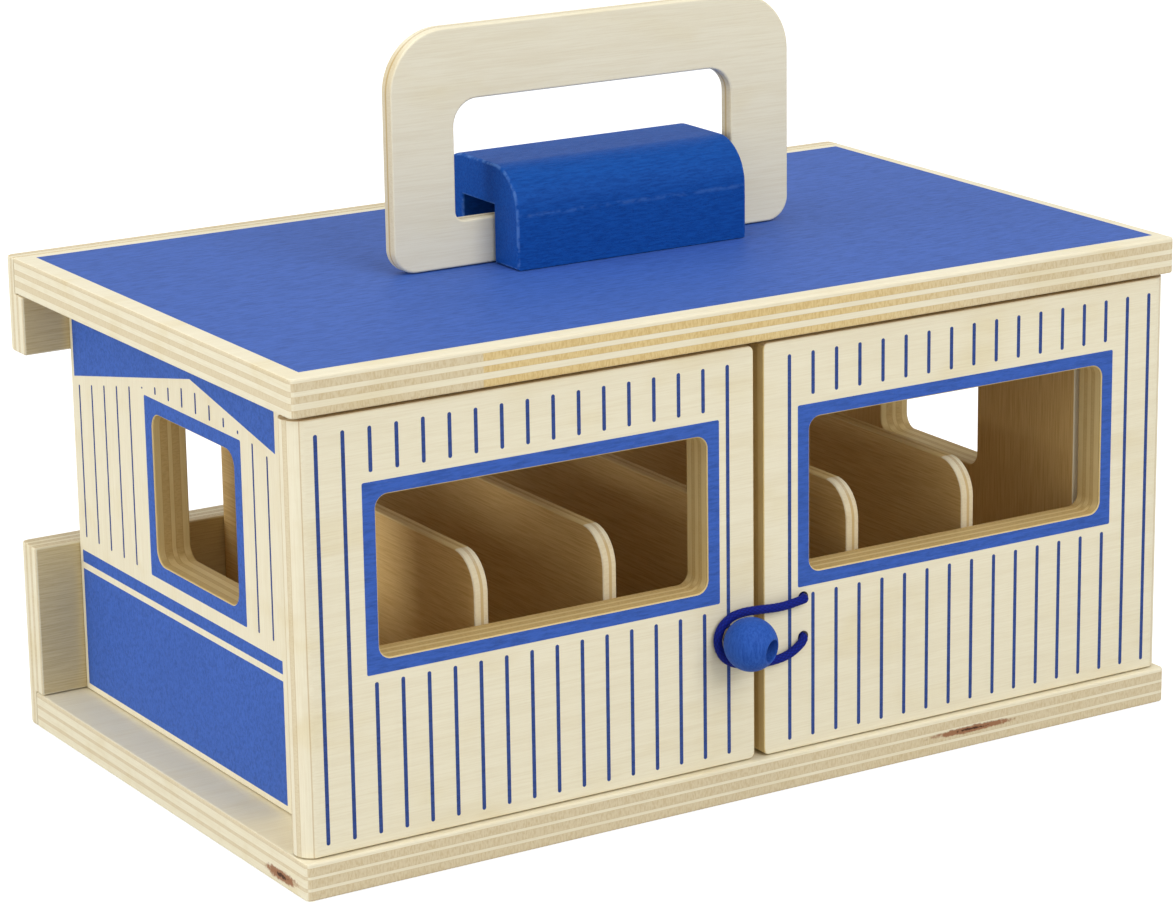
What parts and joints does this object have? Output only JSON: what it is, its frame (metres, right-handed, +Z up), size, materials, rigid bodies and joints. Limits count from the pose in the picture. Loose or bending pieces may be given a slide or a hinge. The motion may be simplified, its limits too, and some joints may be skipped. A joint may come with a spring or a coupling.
{
  "type": "toy barn with opening doors",
  "caption": "Plywood toy stable box with a flat roof, open stalls, windowed double doors on pivot pins, a bead and elastic loop latch, and a fold-down carrying handle.",
  "frame": {"origin": "centre of the base's underside", "axes": "+X along the barn's length, to the right of someone facing the doors; the doors face -Y; +Z up from the base to the handle"},
  "size_m": [0.33, 0.2177, 0.2405],
  "materials": {
    "ply": "sanded birch plywood with printed blue line work",
    "printed_ply": "sanded plywood with a matte blue print and bare edges",
    "thin_ply": "sanded thin plywood",
    "dowel_wood": "bare turned hardwood",
    "blue_wood": "satin blue paint on wood, slightly worn at the edges",
    "steel": "plain zinc-coated steel",
    "elastic": "braided round elastic"
  },
  "bodies": {
    "carcass": {"base_board": "ply", "roof_board": "printed_ply", "rear_fascia": "ply", "low_rear_board": "ply", "side_wall_left": "ply", "side_wall_right": "ply", "stall_divider_1": "thin_ply", "stall_divider_2": "thin_ply", "stall_divider_3": "thin_ply", "stall_divider_4": "thin_ply", "stall_divider_5": "thin_ply", "pivot_pin_left_lower": "steel", "pivot_pin_left_upper": "steel", "pivot_pin_right_lower": "steel", "pivot_pin_right_upper": "steel", "wall_dowel_lower_1": "dowel_wood", "wall_dowel_lower_2": "dowel_wood", "wall_dowel_lower_3": "dowel_wood", "wall_dowel_lower_4": "dowel_wood", "wall_dowel_upper_1": "dowel_wood", "wall_dowel_upper_2": "dowel_wood", "wall_dowel_upper_3": "dowel_wood", "wall_dowel_upper_4": "dowel_wood", "handle_block": "blue_wood", "block_screw_front": "steel", "block_screw_rear": "steel"},
    "left_door": {"door_left": "ply", "latch_bead": "blue_wood", "latch_peg": "dowel_wood"},
    "right_door": {"door_right": "ply", "latch_loop": "elastic", "loop_knot": "elastic"},
    "handle_plate": {"handle": "thin_ply"}
  },
  "joints": [
    {"name": "door_left_hinge", "type": "hinge", "parent": "carcass", "child": "left_door", "pos_m": [-0.1584, -0.0918, 0.0805], "axis": [0, 0, -1], "range_deg": [0, 255], "deforming": ["latch_loop"]},
    {"name": "door_right_hinge", "type": "hinge", "parent": "carcass", "child": "right_door", "pos_m": [0.1584, -0.0918, 0.0805], "axis": [0, 0, 1], "range_deg": [0, 255], "deforming": ["latch_loop"]},
    {"name": "handle_fold", "type": "hinge", "parent": "carcass", "child": "handle_plate", "pos_m": [0, 0, 0.1656], "axis": [-1, 0, 0], "range_deg": [0, 90]}
  ]
}
